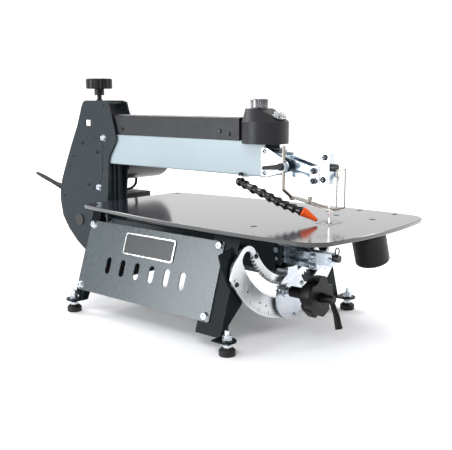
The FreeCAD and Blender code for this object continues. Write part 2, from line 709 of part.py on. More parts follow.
def controller_box():
    body = box(PLATE_IN + PLATE_T, 100, 532, 604, 172, 199)
    return round_edges(body, 3.0, lambda e: e.BoundBox.XMin > 90)


def motor_lead():
    """Short captive lead from under the motor into the column."""
    pts = [(88, 566, 226.3), (87, 566, 213), (76, 566, 205), (60, 566, 202.5), (43, 566, 206), (27, 566, 212)]
    return cord_tube(pts, 3.0)[0]


GLAND_Z = 206.0
GLAND_END = 702.0


def cord_gland():
    nut = hexagon_y((0, 671, GLAND_Z), 18.0, 6.0)
    neck = rod((0, 664, GLAND_Z), (0, 671, GLAND_Z), 6.4)
    sleeve = taper((0, 677, GLAND_Z), (0, GLAND_END, GLAND_Z), 7.0, 4.6)
    return nut.multiFuse([neck, sleeve])


def hexagon_y(centre, across, height):
    r = across / math.sqrt(3)
    pts = []
    for i in range(6):
        t = math.radians(60 * i)
        pts.append((centre[0] + r * math.cos(t), centre[2] + r * math.sin(t)))
    return plate_y(pts, centre[1], centre[1] + height)


# Mains lead, from the gland over and down behind the saw to its coil.
CORD_ROUTE = [(0, 702.3, 206), (0, 721, 206), (-2, 745, 212), (-6, 771, 222), (-6, 799, 228), (8, 824, 226),
              (34, 838, 214), (64, 834, 196), (89, 815, 173), (104, 788, 147), (110, 761, 119), (109, 739, 90),
              (103, 724, 61), (94, 712, 34), (86, 696, 14), (81, 675, 5.2), (79.5, 653, 3.6)]


def cord_tube(points, radius):
    """Round tube of straight runs joined by tangent arcs, with the arcs' radii."""
    pts = [V(*p) for p in points]
    edges = []
    radii = []
    last = pts[0]
    for a, b, c in zip(pts, pts[1:], pts[2:]):
        d0 = (b - a).normalize()
        d1 = (c - b).normalize()
        turn = d0.getAngle(d1)
        reach = 0.45 * min((b - a).Length, (c - b).Length)
        radii.append(reach / math.tan(turn / 2))
        start = b - d0 * reach
        end = b + d1 * reach
        inward = (d1 - d0).normalize()
        centre = b + inward * (radii[-1] / math.cos(turn / 2))
        middle = centre - inward * radii[-1]
        edges.append(Part.LineSegment(last, start).toShape())
        edges.append(Part.Arc(start, middle, end).toShape())
        last = end
    edges.append(Part.LineSegment(last, pts[-1]).toShape())
    path = Part.Wire(edges)
    circle = Part.Wire(Part.makeCircle(radius, pts[0], pts[1] - pts[0]))
    tube = path.makePipeShell([circle], True, False)
    if tube.ShapeType != "Solid":
        tube = Part.Solid(tube)
    print("cord radii", [round(r, 1) for r in radii], "length", round(path.Length, 1),
          "volume ratio", round(tube.Volume / (math.pi * radius ** 2 * path.Length), 4))
    return tube, path.Length


TURN_GAP = 2 * CORD_R
PLUG_X = COIL_X + 36.0
PLUG_Y = COIL_Y - COIL_R - TURN_GAP
PLUG_Z = CORD_R + TURN_GAP


def power_cord():
    main = cord_tube(CORD_ROUTE, CORD_R)[0]
    tail = rod((COIL_X + 2, PLUG_Y, PLUG_Z), (PLUG_X, PLUG_Y, PLUG_Z), CORD_R)
    return group([main, tail])


def cord_coil():
    outer = COIL_R + TURN_GAP + CORD_R
    inner = COIL_R - TURN_GAP - CORD_R
    return ring((COIL_X, COIL_Y, 0), (COIL_X, COIL_Y, 2 * TURN_GAP), outer, inner)


def power_plug():
    x0 = PLUG_X + 14
    relief = taper((PLUG_X, PLUG_Y, PLUG_Z), (x0, PLUG_Y, PLUG_Z), 4.4, 7.5)
    body = round_edges(box(x0, x0 + 26, PLUG_Y - 16, PLUG_Y + 16, 0, 21), 4.0, along((1, 0, 0)))
    pins = []
    for y in (PLUG_Y - 9.5, PLUG_Y + 9.5):
        pins.append(rod((x0 + 26, y, PLUG_Z), (x0 + 45, y, PLUG_Z), 2.4))
    return relief.multiFuse([body] + pins)


# ---- blade drive ----
def link_plate(root, tip, root_half, tip_half, x0, x1):
    """Tapered bar across X between two pivots, with round ends."""
    ry, rz = root
    ty, tz = tip
    d = V(0, ty - ry, tz - rz).normalize()
    n = V(0, -d.z, d.y)
    pts = [(ry + n.y * root_half, rz + n.z * root_half), (ty + n.y * tip_half, tz + n.z * tip_half),
           (ty - n.y * tip_half, tz - n.z * tip_half), (ry - n.y * root_half, rz - n.z * root_half)]
    body = plate_x(pts, x0, x1)
    ends = [rod((x0, ry, rz), (x1, ry, rz), root_half), rod((x0, ty, tz), (x1, ty, tz), tip_half)]
    return body.multiFuse(ends)


LINK_X0 = 9.4
LINK_X1 = 12.4


def main_link(root_z, end_z, crank):
    """Tapered link pair with its pivot shaft and the crank arm that the drive rod pulls."""
    root = (LINK_PIVOT_Y, root_z)
    tip = (LINK_END_Y, end_z)
    sides = [link_plate(root, tip, 9.5, 5.5, *sorted((s * LINK_X0, s * LINK_X1))) for s in (-1, 1)]
    shaft = rod((-18, *root), (18, *root), 5.0)
    hub = rod((-LINK_X0, *root), (LINK_X0, *root), 8.0)
    arm = box(4.3, 7.3, LINK_PIVOT_Y - 4, LINK_PIVOT_Y + 4, *sorted((root_z, root_z + crank)))
    pin_z = root_z + crank
    end = rod((4.3, LINK_PIVOT_Y, pin_z), (7.3, LINK_PIVOT_Y, pin_z), 4.0)
    pin = rod((-3, LINK_PIVOT_Y, pin_z), (5, LINK_PIVOT_Y, pin_z), 2.2)
    body = sides[0].multiFuse([sides[1], shaft, hub, arm, end, pin])
    return body.cut(rod((-20, *tip), (20, *tip), 3.0 + FIT))


def parallel_link(root_z, end_z):
    root = (LINK_PIVOT_Y, root_z - PARALLEL_DROP)
    tip = (LINK_END_Y, end_z - PARALLEL_DROP)
    out = []
    for s in (-1, 1):
        x0, x1 = sorted((s * LINK_X0, s * LINK_X1))
        bar = link_plate(root, tip, 4.2, 4.2, x0, x1)
        pin = rod((s * LINK_X0, *root), (s * 17.0, *root), 3.0)
        bar = bar.fuse(pin).cut(rod((-20, *tip), (20, *tip), 3.0 + FIT))
        out.append(bar)
    return group(out)


def carrier(end_z):
    """Block between the link ends, with its two pivot bolts."""
    low = end_z - PARALLEL_DROP
    body = box(-9.2, 9.2, LINK_END_Y - 9, LINK_END_Y + 8.5, low - 6.0, end_z + 7.5)
    body = round_edges(body, 2.0, along((1, 0, 0)))
    for z in (end_z, low):
        pin = rod((-12.8, LINK_END_Y, z), (12.8, LINK_END_Y, z), 3.0)
        body = body.fuse(pin)
        for s in (-1, 1):
            body = body.fuse(button_bolt((s * 12.8, LINK_END_Y, z), (s, 0, 0), 5.0, 1.0))
    return body


def upper_blade_holder():
    body = carrier(UPPER_END_Z)
    block = round_edges(box(-7.5, 7.5, -3, 15.7, 262, 313), 1.5, along((1, 0, 0)))
    block = block.cut(box(-0.4, 0.4, -4, 3.2, 260, 280))
    nose = box(-4, 4, -4, 4, 258, 266).cut(box(-0.4, 0.4, -5, 2, 250, 280))
    screws = [button_bolt((-7.5, y, z), (-1, 0, 0), 5.0, 1.0) for y, z in ((5.7, 305.7), (8.5, 269.0))]
    return group([body.multiFuse([block, nose] + screws), quick_lever()])


def blade():
    return box(-0.3, 0.3, -1.5, 1.5, 141, 271)


def thumb_screw(z, y_face):
    """Knurled clamp screw that points at the operator."""
    head = rod((0, y_face - 10.5, z), (0, y_face - 1.5, z), 6.4)
    for i in range(16):
        t = math.radians(22.5 * i)
        x, dz = 6.6 * math.cos(t), 6.6 * math.sin(t)
        head = head.cut(rod((x, y_face - 12, z + dz), (x, y_face, z + dz), 0.6))
    return head.fuse(rod((0, y_face - 1.5, z), (0, y_face - 0.1, z), 3.5))


def upper_clamp_screw():
    return thumb_screw(289.0, -3.0)


def quick_lever():
    """Release lever on the right of the upper blade holder."""
    hub = rod((7.7, 6, 284), (13, 6, 284), 5.5)
    arm = link_plate((6, 284), (-14, 268), 3.6, 2.6, 9.0, 12.6)
    return hub.fuse(arm)


def lower_blade_holder():
    body = carrier(LOWER_END_Z)
    block = round_edges(box(-8, 8, -12, 15.7, 126, 147), 1.5, along((1, 0, 0)))
    block = block.cut(box(-1.2, 1.2, -3.9, 3.9, 133, 148))
    screw = button_bolt((-8, -8.5, 137.5), (-1, 0, 0), 4.0, 1.0)
    return body.multiFuse([block, screw])


def lower_clamp_screw():
    body = thumb_screw(139.5, -12.0)
    loop = Part.makeTorus(6.0, 1.1, V(0, -17.5, 151.5), V(0, 1, 0))
    return body.fuse(loop)


ROCKER_Y = 605.0
ROCKER_TOP = UPPER_LINK_Z + UPPER_CRANK
ROCKER_BOTTOM = LOWER_LINK_Z - LOWER_CRANK
ROCKER_Z = ROCKER_BOTTOM + (ROCKER_TOP - ROCKER_BOTTOM) * LOWER_CRANK / (UPPER_CRANK + LOWER_CRANK)


def drive_rod(z):
    body = rod((0, LINK_PIVOT_Y + 4, z), (0, ROCKER_Y - 4, z), 3.0)
    for y in (LINK_PIVOT_Y, ROCKER_Y):
        body = body.fuse(rod((-2.6, y, z), (2.6, y, z), 5.0))
    for y in (LINK_PIVOT_Y, ROCKER_Y):
        body = body.cut(rod((-5, y, z), (5, y, z), 2.2 + 0.35))
    return body


def rear_rocker():
    pins = []
    for z in (ROCKER_TOP, ROCKER_BOTTOM):
        pins.append(rod((-8, ROCKER_Y, z), (8, ROCKER_Y, z), 2.2))
    sides = []
    for s in (-1, 1):
        x0, x1 = sorted((s * 6.0, s * 9.0))
        low = link_plate((ROCKER_Y, ROCKER_Z), (ROCKER_Y, ROCKER_BOTTOM), 10, 5, x0, x1)
        high = link_plate((ROCKER_Y, ROCKER_Z), (ROCKER_Y, ROCKER_TOP), 10, 5, x0, x1)
        sides.append(low.fuse(high))
    shaft = rod((-22, ROCKER_Y, ROCKER_Z), (22, ROCKER_Y, ROCKER_Z), 6.0)
    crank_pin = rod((-8, ROCKER_Y, MOTOR_Z), (8, ROCKER_Y, MOTOR_Z), 3.0)
    return sides[0].multiFuse([sides[1], shaft, crank_pin] + pins)


ECCENTRIC = 1.15
ECCENTRIC_R = 10.0


def connecting_rod():
    """Strap round the eccentric; its big end is open to the eccentric by the throw."""
    big = ECCENTRIC_R + 2 * ECCENTRIC + 0.5
    body = rod((-4, MOTOR_Y, MOTOR_Z), (4, MOTOR_Y, MOTOR_Z), big + 4)
    bar = box(-4, 4, MOTOR_Y + 10, ROCKER_Y, MOTOR_Z - 5, MOTOR_Z + 5)
    small = rod((-4, ROCKER_Y, MOTOR_Z), (4, ROCKER_Y, MOTOR_Z), 7.0)
    body = body.multiFuse([bar, small])
    body = body.cut(rod((-5, MOTOR_Y, MOTOR_Z), (5, MOTOR_Y, MOTOR_Z), big))
    return body.cut(rod((-5, ROCKER_Y, MOTOR_Z), (5, ROCKER_Y, MOTOR_Z), 3.0 + FIT))


def motor_eccentric():
    disc = rod((-4, MOTOR_Y, MOTOR_Z + ECCENTRIC), (4, MOTOR_Y, MOTOR_Z + ECCENTRIC), ECCENTRIC_R)
    shaft = rod((-6, MOTOR_Y, MOTOR_Z), (PLATE_IN + 12, MOTOR_Y, MOTOR_Z), 6.0)
    return disc.fuse(shaft)


def rocker_bearings():
    """Bushes on the access cover and the right plate that carry the rear rocker's shaft."""
    out = []
    for seat, s in ((PLATE_IN - LIP_T, -1), (PLATE_IN, 1)):
        out.append(ring((s * seat, ROCKER_Y, ROCKER_Z), (s * 15, ROCKER_Y, ROCKER_Z), 11.0, 6.0 + FIT))
    return out


# ---- knobs and controls ----
def lobed(radius, lobes, dip, y0, y1, z):
    """Star knob body about an axis along Y, with hollows between its lobes."""
    body = rod((0, y0, z), (0, y1, z), radius)
    body = body.makeFillet(2.5, [e for e in body.Edges if e.BoundBox.YLength < 0.01])
    for i in range(lobes):
        t = math.radians(360.0 / lobes * (i + 0.5) + 90)
        r = radius + dip
        x, dz = r * math.cos(t), r * math.sin(t)
        body = body.cut(rod((x, y0 - 1, z + dz), (x, y1 + 1, z + dz), radius * 0.46))
    return body


PINION_R = PITCH_R * PINION_TEETH / GEAR_TEETH
PINION_Z = AXIS_Z - PITCH_R - PINION_R
LEVER_X, LEVER_Z = polar(PITCH_R + PINION_R, -PINION_TURN)
SHAFT_R = 6.0
POINTER_AT = (-3.0, 62.0)
POINTER_R = 41.0
POINTER_SCREWS = [(-36, 79.7), (28, 79), (7, 26)]


def at_pinion(shape):
    """Turns a piece drawn straight below the tilt axis to the pinion's place beside it."""
    out = shape.copy()
    out.rotate(V(0, 0, AXIS_Z), V(0, 1, 0), PINION_TURN)
    return out


def pinion_shaft():
    shaft = rod((0, 24, PINION_Z), (0, 87, PINION_Z), SHAFT_R)
    root = PINION_R - 2.6
    gear = rod((0, CRESCENT_Y - 0.8, PINION_Z), (0, 87, PINION_Z), root)
    teeth = []
    for i in range(PINION_TEETH):
        t = 360.0 / PINION_TEETH * (i + 0.5)
        tooth = plate_y([(-1.7, root - 1), (-0.7, PINION_R + 1.9), (0.7, PINION_R + 1.9), (1.7, root - 1)],
                        CRESCENT_Y - 0.8, 87)
        tooth.rotate(V(0, 0, 0), V(0, 1, 0), t)
        tooth.translate(V(0, 0, PINION_Z))
        teeth.append(tooth)
    return at_pinion(shaft.multiFuse([gear] + teeth))


def tilt_knob():
    star = lobed(36.0, 5, 9.0, 0, 15.2, PINION_Z).fuse(lobed(31.0, 5, 8.0, 15.2, 24, PINION_Z))
    collar = taper((0, 24, PINION_Z), (0, 34, PINION_Z), 20.0, 17.0)
    sleeve = rod((0, 34, PINION_Z), (0, 62, PINION_Z), 9.5)
    body = star.multiFuse([collar, sleeve])
    return at_pinion(body.cut(rod((0, -5, PINION_Z), (0, 70, PINION_Z), SHAFT_R)))


def lock_lever():
    """Ratchet clamp lever on the end of the pinion shaft."""
    washer = rod((0, -3, PINION_Z), (0, -0.6, PINION_Z), 8.5)
    hub = rod((0, -24, PINION_Z), (0, -11, PINION_Z), 7.0)
    hub = hub.fuse(taper((0, -3, PINION_Z), (0, -12, PINION_Z), 8.4, 7.6))
    screw = rod((0, 20, PINION_Z), (0, -2, PINION_Z), 3.6)
    neck = taper((0, -18, PINION_Z), (0, -29, PINION_Z - 24), 4.2, 4.8)
    grip = taper((0, -28.6, PINION_Z - 22), (0, -35, PINION_Z - 47), 5.2, 6.2)
    lever = washer.multiFuse([hub, screw, neck, grip])
    lever.translate(V(LEVER_X, 0, LEVER_Z - PINION_Z))
    return lever


def pointer_plate():
    """Round silver plate on the head that runs in front of the scale, with its spacer posts and screws."""
    y0 = 72.0
    y1 = 75.0
    x, z = POINTER_AT
    body = rod((x, y0, z), (x, y1, z), POINTER_R)
    body = body.fuse(sector(84, 124, -9, 9, y0, y1))
    boss = rod((LEVER_X, y0 - 2, LEVER_Z), (LEVER_X, y0, LEVER_Z), 12.5)
    body = body.fuse(boss)
    body = body.cut(rod((LEVER_X, y0 - 3, LEVER_Z), (LEVER_X, y1 + 1, LEVER_Z), SHAFT_R + FIT))
    posts = [rod((s * 11, y1, 108), (s * 11, LOWER_ARM_FRONT, 108), 4.4) for s in (-1, 1)]
    body = body.multiFuse(posts)
    for px, pz in POINTER_SCREWS:
        body = body.fuse(button_bolt((px, y0, pz), (0, -1, 0), 4.6, 2.0))
    return body


def tension_knob():
    z0 = 419.0
    y = 578.0
    body = rod((0, y, z0), (0, y, z0 + 21), 27.0)
    body = body.makeFillet(3.0, [e for e in body.Edges if e.BoundBox.ZLength < 0.01])
    for i in range(14):
        t = math.radians(360.0 / 14 * i)
        x, dy = 29.0 * math.cos(t), 29.0 * math.sin(t)
        body = body.cut(rod((x, y + dy, z0 - 1), (x, y + dy, z0 + 22), 3.6))
    hub = rod((0, y, 406), (0, y, z0), 10.0)
    screw = rod((0, y, 372), (0, y, 406), 4.5)
    nut = hexagon((0, y, 392.2), 12.0, 5.0)
    return body.multiFuse([hub, screw, nut])


def speed_knob():
    y = CAP_Y + 14
    body = rod((0, y, 383.6), (0, y, 399), 15.5)
    body = body.makeChamfer(1.0, [e for e in body.Edges if e.BoundBox.ZLength < 0.01])
    for i in range(24):
        t = math.radians(15.0 * i)
        x, dy = 15.9 * math.cos(t), 15.9 * math.sin(t)
        body = body.cut(rod((x, y + dy, 384.5), (x, y + dy, 398), 0.8))
    return body.fuse(rod((0, y, 372), (0, y, 384), 4.0))


# ---- hold-down, guard and air nozzle ----
ROD_X = -27.5
ROD_Y = 74.0
BRACKET_X = -ARM_HALF


def arm_brackets():
    """Triangular hold-down bracket on the arm's left side and the strip that holds the air hose."""
    x0 = BRACKET_X - 2.5
    outline = [(124, 317), (112, 317), (70, 296), (66, 288), (70, 280), (112, 269), (124, 269)]
    body = plate_x(outline, x0, BRACKET_X)
    clamp = rod((ROD_X, ROD_Y, 281), (ROD_X, ROD_Y, 295), 6.2)
    clamp = clamp.cut(rod((ROD_X, ROD_Y, 270), (ROD_X, ROD_Y, 300), 3.05))
    clamp = clamp.cut(box(x0 + 0.01, 0, 0, 100, 200, 320))
    body = body.cut(rod((ROD_X, ROD_Y, 270), (ROD_X, ROD_Y, 330), 3.3)).fuse(clamp)
    for z in (311.5, 274.5):
        body = body.fuse(button_bolt((x0, 117.5, z), (-1, 0, 0), 4.6, 1.0))
    strip = box(-36, 12, 128, 176, ARM_LOW - 3, ARM_LOW)
    strip = strip.cut(box(-40, -22, 100, 158, 200, 300))
    strip = strip.cut(rod((HOSE_X, HOSE_Y, 255), (HOSE_X, HOSE_Y, 275), 4.05))
    return group([body, strip])


def hold_down_rod():
    shaft = rod((ROD_X, ROD_Y, 250), (ROD_X, ROD_Y, 322), 3.0)
    knee = Part.makeSphere(3.0, V(ROD_X, ROD_Y, 250))
    slope = rod((ROD_X, ROD_Y, 250), (-8, 70, 234.5), 3.0)
    return shaft.multiFuse([knee, slope, Part.makeSphere(3.0, V(-8, 70, 234.5))])


def hold_down_foot():
    """Forked spring-steel foot that straddles the blade."""
    outline = [(76, 233.5), (60, 231.5), (8, 221.5), (-16, 218), (-16, 219.6), (8, 223.1), (60, 233.1), (76, 235.1)]
    bar = plate_x(outline, -9, 9)
    bar = bar.cut(box(-2.6, 2.6, -20, 34, 210, 240))
    boss = rod((-8, 70, 230.5), (-8, 70, 236.5), 4.6)
    stud = rod((0, 38, 226), (0, 38, 232), 1.6).fuse(rod((0, 38, 232), (0, 38, 238), 3.8))
    return bar.multiFuse([boss, stud])


GUARD_R = 1.4


def finger_guard():
    """Wire loop that stands in front of the blade."""
    y = -21.5
    corners = [(-5, -10, 220.6), (-12, y, 224), (-12, y, 287), (12, y, 287), (12, y, 224), (5, -10, 220.6)]
    body = Part.makeSphere(GUARD_R, V(*corners[0]))
    for a, b in zip(corners, corners[1:]):
        body = body.multiFuse([rod(a, b, GUARD_R), Part.makeSphere(GUARD_R, V(*b))])
    return body


def wing_knob():
    hub = rod((ROD_X - 6.3, ROD_Y, 288), (ROD_X - 11, ROD_Y, 288), 6.5)
    wing = link_plate((ROD_Y, 288), (108, 284.5), 4.8, 3.4, ROD_X - 12, ROD_X - 8)
    return hub.fuse(wing)


HOSE_X = -27.0
HOSE_Y = 168.0
HOSE_PATH = [(-27, 168, 256), (-31, 152, 251.5), (-36.5, 129, 246), (-38.5, 108, 241), (-39.5, 90, 235),
             (-38.5, 74, 229.5), (-36, 60, 224.5), (-33, 46, 220.5), (-30, 34, 217)]
TIP_START = (-28.6, 30, 215.8)
TIP_END = (-20.5, 9.5, 203.2)


def air_hose():
    """Chain of ball-and-socket segments."""
    body = rod((HOSE_X, HOSE_Y, 250), (HOSE_X, HOSE_Y, 272), 4.0)
    body = body.fuse(Part.makeSphere(8.5, V(HOSE_X, HOSE_Y, 254)))
    pieces = []
    for a, b in zip(HOSE_PATH, HOSE_PATH[1:]):
        pieces.append(taper(a, b, 5.2, 8.0))
        pieces.append(Part.makeSphere(6.2, V(*b)))
    pieces.append(rod(HOSE_PATH[-1], TIP_START, 5.0))
    return body.multiFuse(pieces)


def air_nozzle():
    a, b = V(*TIP_START), V(*TIP_END)
    d = (b - a).normalize()
    body = Part.makeCone(8.0, 7.0, 6.0, a - d * 3.0, d)
    body = body.fuse(Part.makeCone(7.0, 2.6, (b - a).Length - 3.0, a + d * 3, d))
    bore = Part.makeCylinder(1.3, 60, a, d)
    socket = Part.makeSphere(6.3, V(*HOSE_PATH[-1]))
    neck = rod(HOSE_PATH[-1], TIP_START, 5.05)
    return body.cut(bore.multiFuse([socket, neck]))


# ---- assembly ----
def main():
    os.makedirs("parts", exist_ok=True)
    save("front_leg_panel", front_leg_panel())
    save("rear_leg_panel", rear_leg_panel())
    save("left_side_panel", side_panel())
    save("right_side_panel", mirror(side_panel()))
    save("base_fasteners", group(panel_bolts() + foot_nuts()))
    save("badge_plate", badge())
    save("front_trunnion", front_trunnion())
    save("rear_trunnion", rear_trunnion())
    save("table", table())
    save("base_socket_screws", group(table_screws() + trunnion_screws()))
    save("table_insert", table_insert())
    save("dust_port", dust_port())
    for place, (x, y) in feet_places().items():
        save(f"levelling_foot_{place}", levelling_foot(x, y))
    save("left_side_plate", left_side_plate())
    save("right_side_plate", right_side_plate())
    save("access_cover", access_cover())
    save("column_spacers", column_spacers())
    save("column_bolts", column_bolts())
    save("column_screws", column_screws())
    save("upper_arm", upper_arm())
    save("lower_arm", lower_arm())
    save("arm_cover", arm_cover())
    save("head_cap", head_cap())
    save("motor_housing", motor_housing())
    save("motor_end_cap", motor_end_cap())
    save("controller_box", controller_box())
    save("motor_lead", motor_lead())
    save("cord_gland", cord_gland())
    save("pointer_plate", pointer_plate())
    save("arm_brackets", arm_brackets())
    save("upper_link", main_link(UPPER_LINK_Z, UPPER_END_Z, UPPER_CRANK))
    save("upper_parallel_link", parallel_link(UPPER_LINK_Z, UPPER_END_Z))
    save("upper_blade_holder", upper_blade_holder())
    save("blade", blade())
    save("upper_clamp_screw", upper_clamp_screw())
    save("lower_link", main_link(LOWER_LINK_Z, LOWER_END_Z, -LOWER_CRANK))
    save("lower_parallel_link", parallel_link(LOWER_LINK_Z, LOWER_END_Z))
    save("lower_blade_holder", lower_blade_holder())
    save("lower_clamp_screw", lower_clamp_screw())
    save("upper_drive_rod", drive_rod(ROCKER_TOP))
    save("lower_drive_rod", drive_rod(ROCKER_BOTTOM))
    save("rear_rocker", rear_rocker())
    save("connecting_rod", connecting_rod())
    save("motor_eccentric", motor_eccentric())
    save("tension_knob", tension_knob())
    save("speed_knob", speed_knob())
    save("power_switch", power_switch())
    save("pinion_shaft", pinion_shaft())
    save("tilt_knob", tilt_knob())
    save("lock_lever", lock_lever())
    save("hold_down", group([hold_down_rod(), hold_down_foot(), finger_guard()]))
    save("wing_knob", wing_knob())
    save("air_hose", air_hose())
    save("air_nozzle", air_nozzle())
    save("power_cord", power_cord())
    save("cord_coil", cord_coil())
    save("power_plug", power_plug())
    print("nodes", len(PARTS))


main()
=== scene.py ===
import bmesh
import bpy
import math
from mathutils import Matrix, Vector


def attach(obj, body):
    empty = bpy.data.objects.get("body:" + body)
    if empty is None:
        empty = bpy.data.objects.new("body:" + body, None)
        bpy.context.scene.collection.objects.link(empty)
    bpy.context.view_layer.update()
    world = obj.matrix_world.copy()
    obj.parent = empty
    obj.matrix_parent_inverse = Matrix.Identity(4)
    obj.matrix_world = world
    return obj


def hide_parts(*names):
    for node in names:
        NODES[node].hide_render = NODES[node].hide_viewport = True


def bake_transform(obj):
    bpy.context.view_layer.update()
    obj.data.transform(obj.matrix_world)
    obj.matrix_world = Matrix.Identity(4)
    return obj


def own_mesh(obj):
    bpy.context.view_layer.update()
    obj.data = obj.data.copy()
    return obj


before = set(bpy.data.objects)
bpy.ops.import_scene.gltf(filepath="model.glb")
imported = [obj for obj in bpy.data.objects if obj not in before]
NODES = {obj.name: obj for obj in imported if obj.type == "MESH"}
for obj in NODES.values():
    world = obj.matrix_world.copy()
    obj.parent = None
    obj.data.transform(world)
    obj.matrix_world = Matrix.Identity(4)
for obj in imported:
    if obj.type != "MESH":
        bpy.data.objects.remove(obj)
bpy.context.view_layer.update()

MM = 0.001
BLADE_Y = -289.85          # the blade line in the row frame, mm
AXIS_Z = 197.5             # height of the tilt axis and table top, mm
SIDE_SLOPE = math.atan(0.32)


def at(x, y, z):
    """Point given in mm about the blade line, in the row frame in metres."""
    return Vector((x, y + BLADE_Y, z)) * MM


# ---- camera, floor and light ----
CAMERA_AZIMUTH = math.radians(-48.9013)
CAMERA_RISE = math.radians(9.6441)
CAMERA_PLACE = at(-1040.76, -682.45, 403.59)
CAMERA_LENS = 60.32
CAMERA_SENSOR = 36.0
FLOOR_REACH = 40.0                  # half the floor's width, m
FLOOR_GLOW_NEAR = 0.12              # the floor's emission beside the saw
FLOOR_GLOW_FAR = 0.7                # and far out
FLOOR_FADE = (0.7, 2.2)             # distances it rises between, m
BACK_GLOW = 1.05                    # world strength behind the saw
FRONT_GLOW = 0.35                   # and on the side that its faces mirror
BRIGHT_SIDE = (0.72, 0.63, 0.30)    # direction of the bright side
GLOW_FADE = (-0.1, 0.7)             # dot products with it that the strength rises between
WHITE = (1, 1, 1)
LIGHTS = [                          # name, place, target, size, watts, colour
    ("key", (-1.7, -1.0, 2.3), (0, 0, 0.2), (1.2, 1.2), 38, WHITE),
    ("left_softbox", (-2.9, 1.6, 0.9), (-0.1, 0, 0.15), (1.7, 1.9), 80, (0.93, 0.98, 1.0)),
    ("right_fill", (2.0, -1.4, 1.3), (0, 0, 0.15), (1.0, 1.0), 28, WHITE),
    ("rear_top", (0.6, 2.2, 2.2), (0, 0, 0.2), (2.2, 1.0), 60, WHITE),
]


def make_camera():
    data = bpy.data.cameras.new("camera")
    data.lens = CAMERA_LENS
    data.sensor_width = CAMERA_SENSOR
    camera = bpy.data.objects.new("camera", data)
    bpy.context.collection.objects.link(camera)
    a, e = CAMERA_AZIMUTH, CAMERA_RISE
    back = Vector((math.sin(a) * math.cos(e), -math.cos(a) * math.cos(e), math.sin(e)))
    camera.location = CAMERA_PLACE
    camera.rotation_mode = "QUATERNION"
    camera.rotation_quaternion = (-back).to_track_quat("-Z", "Y")
    bpy.context.scene.camera = camera


def area_light(name, place, target, size, power, colour):
    data = bpy.data.lights.new(name, "AREA")
    data.shape = "RECTANGLE"
    data.size, data.size_y = size
    data.energy = power
    data.color = colour
    light = bpy.data.objects.new(name, data)
    bpy.context.collection.objects.link(light)
    light.location = place
    light.rotation_mode = "QUATERNION"
    light.rotation_quaternion = (Vector(target) - Vector(place)).to_track_quat("-Z", "Y")


def make_stage():
    bpy.context.scene.view_settings.view_transform = "Standard"
    make_world()
    corners = [(x * FLOOR_REACH, y * FLOOR_REACH, 0) for x, y in ((-1, -1), (1, -1), (1, 1), (-1, 1))]
    mesh = new_mesh("floor", corners, [(0, 1, 2, 3)])
    floor = bpy.data.objects.new("floor", mesh)
    bpy.context.collection.objects.link(floor)
    mesh.materials.append(floor_paint())
    for light in LIGHTS:
        area_light(*light)


def floor_paint():
    """White floor with a painted glow that is weak round the saw, so its soft cast shadow shows there, and
    rises further out until the floor reads plain white.
    """
    p = Paint("floor_white")
    away = p.add("ShaderNodeVectorMath", operation="LENGTH")
    p.link(p.coords, away.inputs[0])
    # painted light: the floor's glow grows with the distance from the saw
    glow = p.spread(away.outputs["Value"], FLOOR_GLOW_NEAR, FLOOR_GLOW_FAR, *FLOOR_FADE)
    p.link(glow, p.bsdf.inputs["Emission Strength"])
    return p.fixed(Base_Color=(0.9, 0.9, 0.92, 1), Roughness=0.6, Emission_Color=(1, 1, 1, 1)).mat


def make_world():
    """Bright behind the saw and overhead, dimmer on the side that its faces mirror."""
    world = bpy.data.worlds.new("studio")
    bpy.context.scene.world = world
    world.use_nodes = True
    tree = world.node_tree
    direction = tree.nodes.new("ShaderNodeTexCoord").outputs["Generated"]
    dot = tree.nodes.new("ShaderNodeVectorMath")
    dot.operation = "DOT_PRODUCT"
    dot.inputs[1].default_value = BRIGHT_SIDE
    tree.links.new(direction, dot.inputs[0])
    ramp = tree.nodes.new("ShaderNodeMapRange")
    ramp.interpolation_type = "SMOOTHSTEP"
    limits = {"From Min": GLOW_FADE[0], "From Max": GLOW_FADE[1], "To Min": FRONT_GLOW, "To Max": BACK_GLOW}
    for key, value in limits.items():
        ramp.inputs[key].default_value = value
    tree.links.new(dot.outputs["Value"], ramp.inputs["Value"])
    background = tree.nodes["Background"]
    background.inputs["Color"].default_value = (*WHITE, 1)
    tree.links.new(ramp.outputs["Result"], background.inputs["Strength"])


# ---- material building blocks ----
MIX_A, MIX_B, MIX_RESULT = 6, 7, 2    # the mix node's colour sockets


